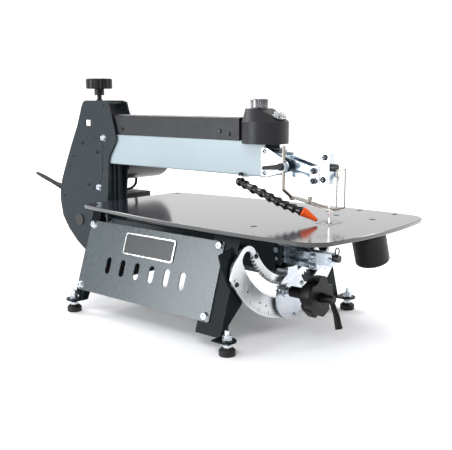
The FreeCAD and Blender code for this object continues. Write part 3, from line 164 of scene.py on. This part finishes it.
class Paint:
    """Node helper for one procedural material, in object coordinates in metres."""

    def __init__(self, name):
        self.mat = bpy.data.materials.new(name)
        self.mat.use_nodes = True
        self.tree = self.mat.node_tree
        self.bsdf = self.tree.nodes["Principled BSDF"]
        self.coords = self.add("ShaderNodeTexCoord").outputs["Object"]

    def add(self, kind, **values):
        node = self.tree.nodes.new(kind)
        for key, value in values.items():
            setattr(node, key, value)
        return node

    def link(self, out, socket):
        self.tree.links.new(out, socket)

    def fixed(self, **values):
        for key, value in values.items():
            self.bsdf.inputs[key.replace("_", " ")].default_value = value
        return self

    def math(self, kind, a, b):
        node = self.add("ShaderNodeMath", operation=kind)
        for socket, value in zip(node.inputs, (a, b)):
            if isinstance(value, (int, float)):
                socket.default_value = value
            else:
                self.link(value, socket)
        return node.outputs[0]

    def stretched(self, scale):
        node = self.add("ShaderNodeMapping")
        node.inputs["Scale"].default_value = scale
        self.link(self.coords, node.inputs["Vector"])
        return node.outputs["Vector"]

    def noise(self, scale, detail=3.0, vector=None):
        node = self.add("ShaderNodeTexNoise")
        node.inputs["Scale"].default_value = scale
        node.inputs["Detail"].default_value = detail
        self.link(vector or self.coords, node.inputs["Vector"])
        return node.outputs["Fac"]

    def spread(self, value, low, high, from_low=0.3, from_high=0.7):
        """Map the range from_low to from_high onto low to high."""
        node = self.add("ShaderNodeMapRange")
        limits = {"From Min": from_low, "From Max": from_high, "To Min": low, "To Max": high}
        for key, number in limits.items():
            node.inputs[key].default_value = number
        self.link(value, node.inputs["Value"])
        return node.outputs["Result"]

    def mix(self, factor, a, b):
        node = self.add("ShaderNodeMix", data_type="RGBA")
        self.link(factor, node.inputs["Factor"])
        for socket, value in ((node.inputs[MIX_A], a), (node.inputs[MIX_B], b)):
            if hasattr(value, "default_value"):
                self.link(value, socket)
            else:
                socket.default_value = (*value, 1)
        return node.outputs[MIX_RESULT]

    def bump(self, height, distance, strength, normal):
        node = self.add("ShaderNodeBump")
        node.inputs["Strength"].default_value = strength
        node.inputs["Distance"].default_value = distance
        self.link(height, node.inputs["Height"])
        self.link(normal, node.inputs["Normal"])
        return node.outputs["Normal"]

    def bevel(self, radius):
        node = self.add("ShaderNodeBevel", samples=4)
        node.inputs["Radius"].default_value = radius
        return node.outputs["Normal"]

    def edge(self, radius, low=0.02, high=0.16):
        """0 on flat faces, rising to 1 at sharp edges."""
        flat = self.add("ShaderNodeNewGeometry").outputs["Normal"]
        dot = self.add("ShaderNodeVectorMath", operation="DOT_PRODUCT")
        self.link(self.bevel(radius), dot.inputs[0])
        self.link(flat, dot.inputs[1])
        gap = self.math("SUBTRACT", 1.0, dot.outputs["Value"])
        return self.spread(gap, 0.0, 1.0, low, high)

    def where(self, direction, point, low, high):
        """Mask from 0 to 1 with the distance along a direction from a point."""
        shift = self.add("ShaderNodeVectorMath", operation="SUBTRACT")
        self.link(self.coords, shift.inputs[0])
        shift.inputs[1].default_value = point
        dot = self.add("ShaderNodeVectorMath", operation="DOT_PRODUCT")
        self.link(shift.outputs[0], dot.inputs[0])
        dot.inputs[1].default_value = direction
        return self.spread(dot.outputs["Value"], 0.0, 1.0, low, high)

    def colour(self, out):
        self.link(out, self.bsdf.inputs["Base Color"])
        return self

    def rough(self, out):
        self.link(out, self.bsdf.inputs["Roughness"])
        return self

    def normal(self, out):
        self.link(out, self.bsdf.inputs["Normal"])
        return self


def shade(colour, k):
    return tuple(min(1.0, c * k) for c in colour)


def powder_coat(name, colour, rough=0.42, bare=(0.5, 0.53, 0.55), gloss=0.5):
    """Powder coat: fine orange peel, faint clouding and lighter rubbed edges."""
    p = Paint(name)
    cloud = p.spread(p.noise(7.0), 0.0, 1.0)
    body = p.mix(cloud, shade(colour, 0.96), shade(colour, 1.04))
    scuff = p.math("MULTIPLY", p.edge(0.0009), p.spread(p.noise(180.0, 5.0), 0.0, 0.55, 0.45, 0.7))
    p.colour(p.mix(scuff, body, bare))
    p.rough(p.spread(p.noise(90.0), rough - 0.015, rough + 0.02))
    peel = p.noise(1500.0, 2.0)
    p.normal(p.bump(peel, 0.00003, 0.3, p.bevel(0.0007)))
    return p.fixed(Specular_IOR_Level=gloss, Coat_Weight=0.2 * gloss, Coat_Roughness=0.25).mat


def zinc_plate(name, colour, rough, cloudy, grain=(40, 40, 900)):
    """Plated or bare metal with a brushed grain, clouded towards a second colour."""
    p = Paint(name)
    cloud = p.spread(p.noise(28.0, 4.0), 0.0, 1.0)
    p.colour(p.mix(cloud, colour, cloudy))
    brushed = p.noise(1.0, 4.0, p.stretched(grain))
    p.rough(p.spread(brushed, rough - 0.09, rough + 0.12))
    p.normal(p.bump(brushed, 0.00003, 0.3, p.bevel(0.0005)))
    return p.fixed(Metallic=1.0).mat


def moulded(name, colour, rough, grain=1100.0, depth=0.00012, coat=0.0):
    """Moulded plastic or rubber with a fine spark-eroded grain."""
    p = Paint(name)
    cloud = p.spread(p.noise(35.0), 0.0, 1.0)
    worn = p.math("MULTIPLY", p.edge(0.0008), 0.35)
    body = p.mix(cloud, shade(colour, 0.85), shade(colour, 1.15))
    p.colour(p.mix(worn, body, tuple(c * 1.5 + 0.04 for c in colour)))
    p.rough(p.spread(p.noise(120.0), rough - 0.06, rough + 0.08))
    p.normal(p.bump(p.noise(grain, 2.0), depth, 0.4, p.bevel(0.0006)))
    return p.fixed(Coat_Weight=coat, Specular_IOR_Level=0.28).mat


def table_coat():
    """Glossy grey coat on the table top, darker on its cut edge and underside."""
    p = Paint("table_coat")
    top = p.where((0, 0, 1), (0, 0, AXIS_Z * MM), -0.0012, -0.0002)
    haze = p.spread(p.noise(9.0, 2.0), 0.0, 1.0)
    grey = p.mix(haze, (0.018, 0.020, 0.027), (0.024, 0.026, 0.033))
    p.colour(p.mix(top, (0.010, 0.009, 0.009), grey))
    fine = p.noise(1.0, 3.0, p.stretched((30, 700, 30)))
    p.rough(p.spread(fine, 0.11, 0.15))
    p.normal(p.bump(p.noise(900.0, 2.0), 0.00004, 0.25, p.bevel(0.0006)))
    return p.fixed(Specular_IOR_Level=0.6, Coat_Weight=0.5, Coat_Roughness=0.11).mat


def two_zone(name, direction, point, low, high, a, b):
    """Two finishes of one node, split across a direction; each is (colour, roughness, metallic)."""
    p = Paint(name)
    mask = p.where(direction, point, low, high)
    cloud = p.spread(p.noise(60.0), 0.0, 1.0)
    first = p.mix(cloud, shade(a[0], 0.88), shade(a[0], 1.12))
    second = p.mix(cloud, shade(b[0], 0.93), shade(b[0], 1.07))
    p.colour(p.mix(mask, first, second))
    p.link(p.spread(mask, a[2], b[2], 0.0, 1.0), p.bsdf.inputs["Metallic"])
    grain = p.spread(p.noise(300.0), -0.05, 0.06)
    p.rough(p.math("ADD", p.spread(mask, a[1], b[1], 0.0, 1.0), grain))
    p.normal(p.bump(p.noise(900.0, 2.0), 0.0001, 0.3, p.bevel(0.0006)))
    return p.mat


def clear_rubber():
    p = Paint("clear_boot")
    p.rough(p.spread(p.noise(200.0), 0.12, 0.28))
    p.colour(p.mix(p.spread(p.noise(40.0), 0.0, 1.0), (0.86, 0.88, 0.9), (0.95, 0.96, 0.97)))
    return p.fixed(Transmission_Weight=0.75, IOR=1.42).mat


SLATE = (0.011, 0.018, 0.023)
LEG = (0.004, 0.0065, 0.008)
PANEL = (0.040, 0.055, 0.065)
CHARCOAL = (0.014, 0.014, 0.017)
BLACK = (0.0035, 0.0035, 0.004)


def make_materials():
    side = math.cos(SIDE_SLOPE), math.sin(SIDE_SLOPE)
    return {
        "slate": powder_coat("slate_powder_coat", SLATE, 0.42, (0.4, 0.43, 0.45), 0.2),
        "leg": powder_coat("leg_powder_coat", LEG, 0.3, (0.3, 0.33, 0.35), 0.06),
        "panel": powder_coat("panel_powder_coat", PANEL, 0.27, gloss=0.6),
        "silver_blue": powder_coat("silver_blue_paint", (0.30, 0.365, 0.40), 0.32, (0.7, 0.73, 0.75)),
        "charcoal": moulded("charcoal_plastic", CHARCOAL, 0.38, 1400.0),
        "black": moulded("black_plastic", BLACK, 0.42),
        "black_steel": moulded("black_oxide_steel", (0.012, 0.012, 0.013), 0.3, 2200.0, 0.00004, 0.2),
        "motor": powder_coat("motor_black_paint", (0.018, 0.018, 0.02), 0.3, (0.1, 0.1, 0.1)),
        "zinc": zinc_plate("zinc_plate", (0.66, 0.68, 0.70), 0.28, (0.50, 0.56, 0.64)),
        "crescent": zinc_plate("zinc_trunnion", (0.90, 0.92, 0.93), 0.34, (0.82, 0.86, 0.88), (300, 300, 25)),
        "link": zinc_plate("zinc_link", (0.50, 0.56, 0.62), 0.22, (0.30, 0.37, 0.44), (60, 60, 700)),
        "guard": zinc_plate("bronzed_wire", (0.34, 0.30, 0.25), 0.25, (0.26, 0.25, 0.24)),
        "steel": zinc_plate("machined_steel", (0.50, 0.51, 0.52), 0.32, (0.42, 0.43, 0.45)),
        "blade": zinc_plate("blade_steel", (0.62, 0.62, 0.62), 0.25, (0.5, 0.52, 0.55)),
        "chrome": zinc_plate("chrome_knob", (0.24, 0.24, 0.25), 0.09, (0.16, 0.16, 0.17), (20, 20, 200)),
        "table": table_coat(),
        "orange": moulded("orange_plastic", (0.92, 0.10, 0.008), 0.28, 900.0, 0.00006, 0.3),
        "hose": moulded("hose_plastic", BLACK, 0.2, 900.0, 0.00005, 0.35),
        "cable": moulded("cable_sheath", (0.010, 0.010, 0.011), 0.5, 1800.0, 0.00006),
        "boot": clear_rubber(),
        "foot": two_zone("foot_rubber_and_zinc", (0, 0, 1), (0, 0, 0.013), 0.0, 0.0004,
                         (BLACK, 0.6, 0.0), ((0.70, 0.76, 0.80), 0.25, 1.0)),
        "badge": two_zone("badge_plate", (-side[0], 0, side[1]), at(-125, 0, 168.5), 0.0034, 0.0040,
                          ((0.02, 0.02, 0.023), 0.35, 0.0), ((0.86, 0.87, 0.88), 0.18, 1.0)),
        # ink of the scale's tick marks, also used as the painted shade in the insert's slots
        "ink_and_shade": moulded("scale_ink_and_slot_shade", (0.03, 0.03, 0.035), 0.6),
    }


FINISH = {
    "leg": ["front_leg_panel", "rear_leg_panel"],
    "slate": ["left_side_plate", "right_side_plate", "access_cover",
              "column_spacers", "lower_arm"],
    "panel": ["left_side_panel", "right_side_panel"],
    "silver_blue": ["upper_arm"],
    "charcoal": ["arm_cover", "head_cap"],
    "black": ["dust_port", "controller_box", "cord_gland", "power_switch", "tension_knob", "tilt_knob",
              "lock_lever", "wing_knob", "air_hose", "power_plug"],
    "black_steel": ["base_socket_screws", "column_screws", "upper_clamp_screw", "lower_clamp_screw"],
    "motor": ["motor_housing", "motor_end_cap"],
    "zinc": ["base_fasteners", "column_bolts", "pointer_plate", "arm_brackets", "upper_blade_holder",
             "lower_blade_holder"],
    "guard": ["hold_down"],
    "crescent": ["front_trunnion", "rear_trunnion"],
    "link": ["upper_link", "upper_parallel_link", "lower_link", "lower_parallel_link"],
    "steel": ["upper_drive_rod", "lower_drive_rod", "rear_rocker", "connecting_rod", "motor_eccentric",
              "pinion_shaft"],
    "blade": ["blade"],
    "chrome": ["speed_knob"],
    "table": ["table", "table_insert"],
    "orange": ["air_nozzle"],
    "cable": ["motor_lead", "power_cord", "cord_coil"],
    "foot": ["levelling_foot_front_left", "levelling_foot_front_right", "levelling_foot_rear_left",
             "levelling_foot_rear_right"],
    "badge": ["badge_plate"],
}


def finish_nodes(mats):
    for key, names in FINISH.items():
        for name in names:
            data = NODES[name].data
            data.materials.clear()
            data.materials.append(mats[key])
            for polygon in data.polygons:
                polygon.material_index = 0


# ---- mesh helpers ----
def new_mesh(name, verts, faces):
    mesh = bpy.data.meshes.new(name)
    mesh.from_pydata([tuple(v) for v in verts], [], faces)
    return mesh


def ring_faces(rings, steps):
    """Faces between neighbouring rings of vertices."""
    faces = []
    for k in range(rings - 1):
        for i in range(steps):
            j = (i + 1) % steps
            faces.append((k * steps + i, k * steps + j, (k + 1) * steps + j, (k + 1) * steps + i))
    return faces


def end_faces(rings, steps):
    """Faces that close the first and the last ring."""
    last = (rings - 1) * steps
    return [tuple(reversed(range(steps))), tuple(range(last, last + steps))]


def squarish(value, power):
    """Coordinate on a unit circle, pushed towards a square as the power falls below 1."""
    return math.copysign(abs(value) ** power, value)


def piece(name, mesh, mat, body, smooth=True):
    for polygon in mesh.polygons:
        polygon.use_smooth = smooth
    obj = bpy.data.objects.new(name, mesh)
    bpy.context.collection.objects.link(obj)
    mesh.materials.append(mat)
    if body:
        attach(obj, body)
    return obj


def lathe(name, outline, start, direction, steps=48):
    """Turned mesh: outline is (distance along the axis, radius) pairs in metres."""
    axis = Vector(direction).normalized()
    turn = axis.to_track_quat("Z", "Y")
    verts = []
    for h, r in outline:
        for i in range(steps):
            t = 2 * math.pi * i / steps
            verts.append(Vector(start) + turn @ Vector((r * math.cos(t), r * math.sin(t), h)))
    rings = len(outline)
    return new_mesh(name, verts, ring_faces(rings, steps) + end_faces(rings, steps))


def tidy(mesh):
    bm = bmesh.new()
    bm.from_mesh(mesh)
    bmesh.ops.remove_doubles(bm, verts=bm.verts, dist=1e-7)
    bmesh.ops.recalc_face_normals(bm, faces=bm.faces)
    bm.to_mesh(mesh)
    bm.free()
    return mesh


# ---- mains lead ----
CORD_D = 0.007
COIL = (125.0, 650.0)           # the coil's middle, mm
COIL_R = 38.5                   # radius of its middle turn
COIL_STEP = 7.0                 # between neighbouring turns
COIL_LOW, COIL_HIGH = 3.6, 10.5     # heights of its two layers
COIL_TURNS = 6.25
COIL_POINTS = 16                # per turn
LAYER_TURNS = 3
INWARD_TURNS = 2.6              # turns that the radius takes to shrink, on the floor
OUTWARD_TURNS = 2.8             # and to grow again, on top
CORD_ROUTE = [
    (0, 702.3, 206), (0, 721, 206), (-2, 745, 212), (-6, 771, 222), (-6, 799, 228), (8, 824, 226),
    (34, 838, 214), (64, 834, 196), (89, 815, 173), (104, 788, 147), (110, 761, 119), (109, 739, 90),
    (103, 724, 61), (94, 712, 34), (86, 696, 14), (81, 675, 5.2),
]


def coil_points():
    """Six turns: three inwards on the floor, three outwards on top, then a quarter turn to the plug."""
    pts = []
    for i in range(int(COIL_TURNS * COIL_POINTS) + 1):
        turn = i / COIL_POINTS
        angle = math.pi + 2 * math.pi * turn
        if turn < LAYER_TURNS:
            r = COIL_R + COIL_STEP - COIL_STEP * min(turn, INWARD_TURNS) * (2 / INWARD_TURNS)
        else:
            r = COIL_R - COIL_STEP + COIL_STEP * min(turn - LAYER_TURNS, OUTWARD_TURNS) * (2 / OUTWARD_TURNS)
        rise = min(1.0, max(0.0, (turn - 2.7) / 0.5))
        z = COIL_LOW + (COIL_HIGH - COIL_LOW) * rise * rise * (3 - 2 * rise)
        pts.append((COIL[0] + r * math.cos(angle), COIL[1] + r * math.sin(angle), z))
    return pts


def nurbs(name, points):
    data = bpy.data.curves.new(name, "CURVE")
    data.dimensions = "3D"
    data.resolution_u = 8
    spline = data.splines.new("NURBS")
    spline.points.add(len(points) - 1)
    for p, co in zip(spline.points, points):
        p.co = (*at(*co), 1)
    spline.order_u = 3
    spline.use_endpoint_u = True
    return data


def evaluated(data):
    obj = bpy.data.objects.new("temp", data)
    bpy.context.collection.objects.link(obj)
    depsgraph = bpy.context.evaluated_depsgraph_get()
    mesh = bpy.data.meshes.new_from_object(obj.evaluated_get(depsgraph), depsgraph=depsgraph)
    bpy.data.objects.remove(obj)
    return mesh


def make_cord(mats):
    to_plug = [(COIL[0] + x, COIL[1] - 45.5, COIL_HIGH) for x in (18, 36.5)]
    data = nurbs("mains_lead", CORD_ROUTE + coil_points() + to_plug)
    path = [v.co.copy() for v in evaluated(data).vertices]
    data.bevel_depth = CORD_D / 2
    data.bevel_resolution = 5
    data.use_fill_caps = True
    mesh = tidy(evaluated(data))
    cord = piece("mains_lead", mesh, mats["cable"], None)
    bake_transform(cord)
    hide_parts("power_cord", "cord_coil")
    tie = make_tie(mats)


def make_tie(mats):
    """Hook-and-loop strap round the coil's turns."""
    ring = []
    centre = at(COIL[0] + COIL_R, COIL[1], 7.1)
    half_r, half_z, wide, thick = 0.0108, 0.0072, 0.006, 0.0009
    lowest = -0.0070            # keeps the strap off the floor
    for i in range(40):
        t = 2 * math.pi * i / 40
        ring.append((half_r * squarish(math.cos(t), 0.6), half_z * squarish(math.sin(t), 0.6)))
    verts, faces = [], []
    for side in (-wide, wide):
        for grow in (0.0, thick):
            for x, z in ring:
                k = 1 + grow / math.hypot(x, z)
                verts.append(centre + Vector((x * k, side, max(z * k, lowest))))
    n = len(ring)
    for i in range(n):
        j = (i + 1) % n
        for a, b in ((0, 1), (3, 2), (1, 3), (2, 0)):
            faces.append((a * n + i, a * n + j, b * n + j, b * n + i))
    mesh = new_mesh("cord_tie", verts, faces)
    return piece("cord_tie", tidy(mesh), mats["cable"], "base")


# ---- scale and switch boot ----
SCALE_Y = 79.94                 # just before the front trunnion's face
SCALE_R = 171.0                 # outer ends of the ticks


def make_scale(mats):
    """Tick marks along the lower rim of the front trunnion, longer every ten degrees."""
    verts, faces = [], []
    for degree in range(-60, 61, 2):
        long = degree % 10 == 0
        inner = SCALE_R - (8.0 if long else 4.5)
        half = 0.42 if long else 0.28
        t = math.radians(degree)
        across = Vector((math.cos(t), 0, math.sin(t))) * half
        ends = [Vector((r * math.sin(t), SCALE_Y, AXIS_Z - r * math.cos(t))) for r in (inner, SCALE_R)]
        k = len(verts)
        for e in ends:
            for s in (-1, 1):
                verts.append(tuple(at(*(e + across * s))))
        faces.append((k, k + 1, k + 3, k + 2))
    mesh = new_mesh("tilt_scale", verts, faces)
    scale = piece("tilt_scale", tidy(mesh), mats["ink_and_shade"], "base", False)
    solid = scale.modifiers.new("thick", "SOLIDIFY")
    solid.thickness = 0.00005


CAP_SLOPE = math.radians(23.8)


def make_boot(mats):
    """Clear dust boot over the power switch, with its clamped rim."""
    centre = at(0, 106.0, 369.5)
    normal = Vector((0, -math.sin(CAP_SLOPE), math.cos(CAP_SLOPE)))
    turn = normal.to_track_quat("Z", "X")
    outline = [(0.0, 1.0), (0.8, 1.0), (1.4, 0.93), (1.6, 0.86), (2.6, 0.84), (5.0, 0.80), (6.4, 0.72),
               (7.0, 0.55), (7.2, 0.0)]
    half_x, half_y = 13.5, 10.5
    steps = 40
    verts = []
    side = Vector((1, 0, 0))
    front = normal.cross(side)
    for h, k in outline:
        for i in range(steps):
            t = 2 * math.pi * i / steps
            c, s = math.cos(t), math.sin(t)
            x = squarish(c, 0.7) * half_x * k
            y = squarish(s, 0.7) * half_y * k
            ripple = 0.25 * math.sin(6 * t) if 3 < h < 7 else 0.0
            verts.append(tuple(centre + (side * (x + ripple) + front * y + normal * (h + 0.1)) * MM))
    mesh = new_mesh("switch_boot", verts, ring_faces(len(outline), steps))
    boot = piece("switch_boot", tidy(mesh), mats["boot"], "head")
    solid = boot.modifiers.new("thick", "SOLIDIFY")
    solid.thickness = 0.0006
    solid.offset = -1


# ---- painted shade in the slots of the table insert ----
def make_slot_shadows(mats):
    """Painted shade: dark sheets in the insert's two rows of slots, just under its face, standing for the
    shade inside them.
    """
    verts, faces = [], []
    turn = Matrix.Rotation(math.radians(-32), 3, "Z")
    for row in (-1, 1):
        for i in range(7):
            centre = Vector(((i - 3) * 5.6, row * 13.5, AXIS_Z - 0.12))
            k = len(verts)
            for x, y in ((-1.0, -4.3), (1.0, -4.3), (1.0, 4.3), (-1.0, 4.3)):
                verts.append(tuple(at(*(centre + turn @ Vector((x, y, 0.04))))))
            faces.append((k, k + 1, k + 2, k + 3))
    mesh = new_mesh("insert_slot_shade", verts, faces)
    # dark sheets of painted shade where the slots are
    slots = piece("insert_slot_shade", mesh, mats["ink_and_shade"], "base", False)
    slots.modifiers.new("thick", "SOLIDIFY").thickness = 0.0004


# ---- air hose ----
HOSE_PATH = [(-27, 168, 256), (-31, 152, 251.5), (-36.5, 129, 246), (-38.5, 108, 241), (-39.5, 90, 235),
             (-38.5, 74, 229.5), (-36, 60, 224.5), (-33, 46, 220.5), (-30, 34, 217)]
NOZZLE_START = (-28.6, 30, 215.8)
NOZZLE_END = (-20.5, 9.5, 203.2)
BALL_REACH = 80                 # degrees each way from the ball's equator
BALL_STEPS = 12


def scaled(outline):
    return [(h * MM, r * MM) for h, r in outline]


def joined(name, meshes):
    """One mesh from several closed ones."""
    bm = bmesh.new()
    for mesh in meshes:
        bm.from_mesh(mesh)
        bpy.data.meshes.remove(mesh)
    bmesh.ops.recalc_face_normals(bm, faces=bm.faces)
    out = bpy.data.meshes.new(name)
    bm.to_mesh(out)
    bm.free()
    return out


def cup(start, end):
    """Hose segment: a small socket that flares to a thick-lipped cup, with its ball standing in the cup."""
    run = (Vector(end) - Vector(start)).length
    outline = [(-3.0, 4.4), (-1.2, 5.3), (1.0, 5.6), (2.0, 5.3), (run * 0.45, 5.9), (run * 0.72, 7.0),
               (run * 0.86, 7.9), (run * 0.94, 8.15), (run, 8.0), (run + 0.5, 7.5), (run + 0.3, 6.6),
               (run - 1.0, 6.1), (run + 1.5, 5.9), (run + 3.0, 5.2), (run + 3.8, 4.2)]
    return lathe("cup", scaled(outline), at(*start), at(*end) - at(*start), 40)


def ball(centre, direction, radius):
    """Ball with its two poles cut flat."""
    outline = []
    for step in range(BALL_STEPS + 1):
        t = math.radians(-BALL_REACH + 2 * BALL_REACH * step / BALL_STEPS)
        outline.append((radius * math.sin(t), radius * math.cos(t)))
    return lathe("ball", scaled(outline), at(*centre), direction, 40)


def make_hose(mats):
    root = HOSE_PATH[0]
    stem = lathe("stem", scaled([(0, 3.9), (16, 3.9)]), at(*root), (0, 0, 1))
    knuckle = joined("hose_root", [stem, ball(root, at(*HOSE_PATH[1]) - at(*root), 8.6)])
    piece("hose_root", knuckle, mats["hose"], "air_nozzle")
    mesh = joined("segmented_hose", [cup(a, b) for a, b in zip(HOSE_PATH, HOSE_PATH[1:])])
    hose = piece("segmented_hose", mesh, mats["hose"], "air_nozzle")
    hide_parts("air_hose")
    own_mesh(hose)

    start, end = at(*NOZZLE_START), at(*NOZZLE_END)
    run = (end - start).length / MM
    outline = [(-3.0, 6.6), (-3.0, 7.8), (-2.2, 8.0), (1.8, 8.0), (2.6, 7.4), (4.2, 7.1), (run * 0.55, 4.9),
               (run - 1.2, 2.9), (run - 0.3, 2.6), (run, 2.2), (run, 1.4), (run - 4, 1.2)]
    tip = lathe("air_tip", scaled(outline), start, end - start)
    nozzle = piece("air_tip", tip, mats["orange"], "air_nozzle")
    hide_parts("air_nozzle")
    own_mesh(nozzle)


# ---- black screws over the CAD heads ----
def socket_head(place, direction, radius):
    """Domed head with a hexagon recess."""
    axis = Vector(direction).normalized()
    turn = axis.to_track_quat("Z", "Y")
    steps = 36
    # height and radius over the head's radius, and whether the ring is a hexagon
    rings = [(-0.05, 1.03, False), (0.12, 1.06, False), (0.30, 1.00, False), (0.50, 0.84, False),
             (0.64, 0.66, False), (0.68, 0.56, False), (0.66, 0.46, True), (0.40, 0.44, True)]
    verts = []
    for h, k, hexagonal in rings:
        for i in range(steps):
            t = 2 * math.pi * i / steps
            flat = math.cos(math.pi / 6) / math.cos(t % (math.pi / 3) - math.pi / 6) if hexagonal else 1.0
            r = radius * k * flat
            verts.append(at(*place) + turn @ (Vector((r * math.cos(t), r * math.sin(t), h * radius)) * MM))
    count = len(rings)
    return new_mesh("socket_head", verts, ring_faces(count, steps) + end_faces(count, steps))


def make_screws(mats):
    """Black button screws on the arm brackets and the upper blade holder."""
    left = (-1, 0, 0)
    bracket = [socket_head((-25, 117.5, z), left, 3.6) for z in (311.5, 274.5)]
    piece("bracket_screws", joined("bracket_screws", bracket), mats["black_steel"], "head")
    holder = [socket_head((s * 12.8, 24.7, z), (s, 0, 0), 5.0) for s in (-1, 1) for z in (282.7, 266.1)]
    holder += [socket_head((-7.5, y, z), left, 5.0) for y, z in ((5.7, 305.7), (8.5, 269.0))]
    heads = joined("holder_screws", holder)
    piece("holder_screws", heads, mats["black_steel"], "upper_holder")


def main():
    mats = make_materials()
    make_camera()
    make_stage()
    make_cord(mats)
    finish_nodes(mats)
    make_scale(mats)
    make_boot(mats)
    make_slot_shadows(mats)
    make_hose(mats)
    make_screws(mats)


main()
